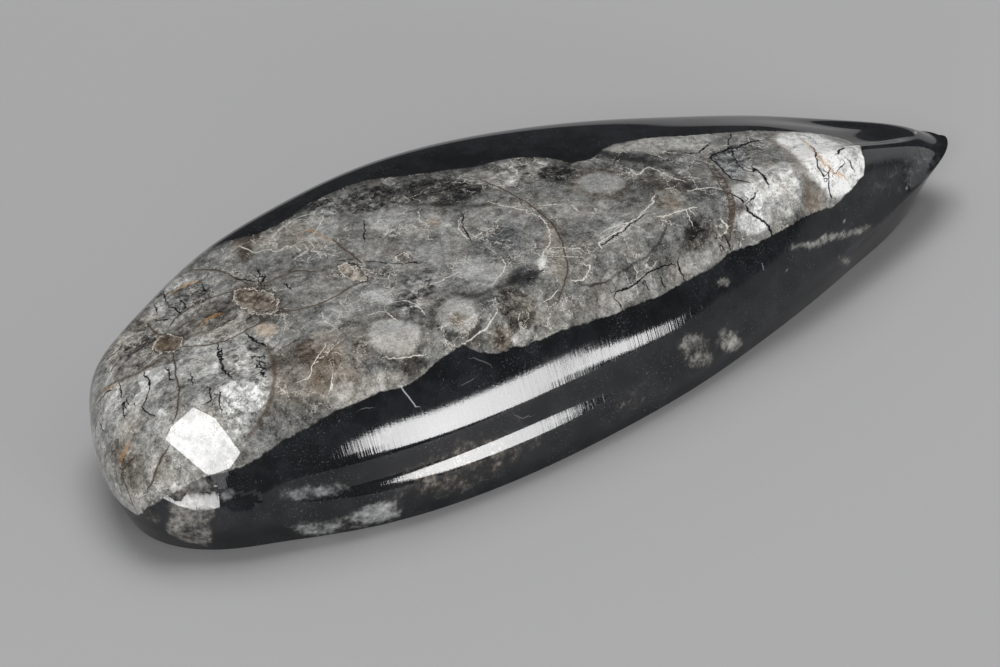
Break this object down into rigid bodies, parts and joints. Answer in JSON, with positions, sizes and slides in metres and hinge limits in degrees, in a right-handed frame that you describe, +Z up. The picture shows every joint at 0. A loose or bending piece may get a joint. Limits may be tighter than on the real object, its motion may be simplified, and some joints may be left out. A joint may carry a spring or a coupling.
{
  "type": "orthoceras fossil",
  "caption": "Hand-ground, polished black limestone in a boat shape with a blunt end and a raised point, showing a sectioned straight-shelled fossil in grey and cream calcite on its domed top.",
  "frame": {"origin": "middle of the stone's bounding box, on the surface it rests on", "axes": "+X along the stone from the blunt end to the raised point, +Z up through the domed top, -Y toward the broad sloping flank"},
  "size_m": [0.1264, 0.051, 0.0213],
  "materials": {
    "polished_limestone": "polished"
  },
  "bodies": {
    "root": {"orthoceras_fossil": "polished_limestone"}
  },
  "joints": []
}
